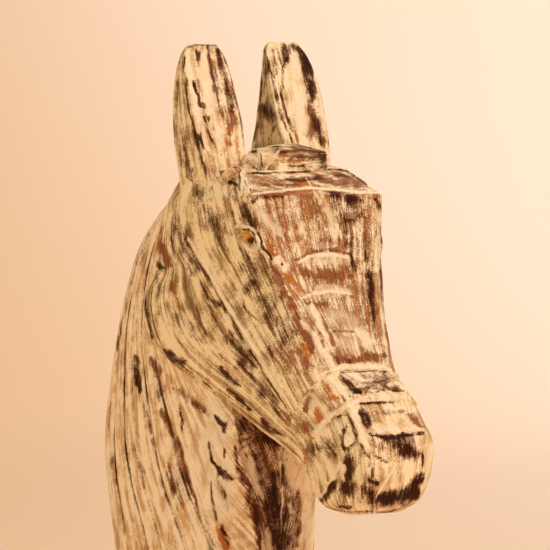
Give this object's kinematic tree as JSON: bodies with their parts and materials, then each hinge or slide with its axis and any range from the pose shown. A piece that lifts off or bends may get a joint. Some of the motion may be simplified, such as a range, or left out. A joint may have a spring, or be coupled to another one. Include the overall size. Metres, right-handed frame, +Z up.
{
  "type": "carved wooden horse head sculpture",
  "caption": "Horse head and neck carved in one block of wood, squared facets, upright blunt ears, banded muzzle and bead eyes; stands on its flat-cut neck.",
  "frame": {"origin": "middle of the flat underside of the neck", "axes": "+Z up through the neck, -Y the way the horse looks, +X the horse's left side"},
  "size_m": [0.1498, 0.4092, 0.508],
  "materials": {
    "whitewashed_wood": "cream whitewash brushed over dark stained wood and rubbed back to red-brown and black streaks, matt",
    "amber_bead": "glossy amber"
  },
  "bodies": {
    "root": {"horse_head": "whitewashed_wood", "right_eye": "amber_bead", "left_eye": "amber_bead"}
  },
  "joints": []
}
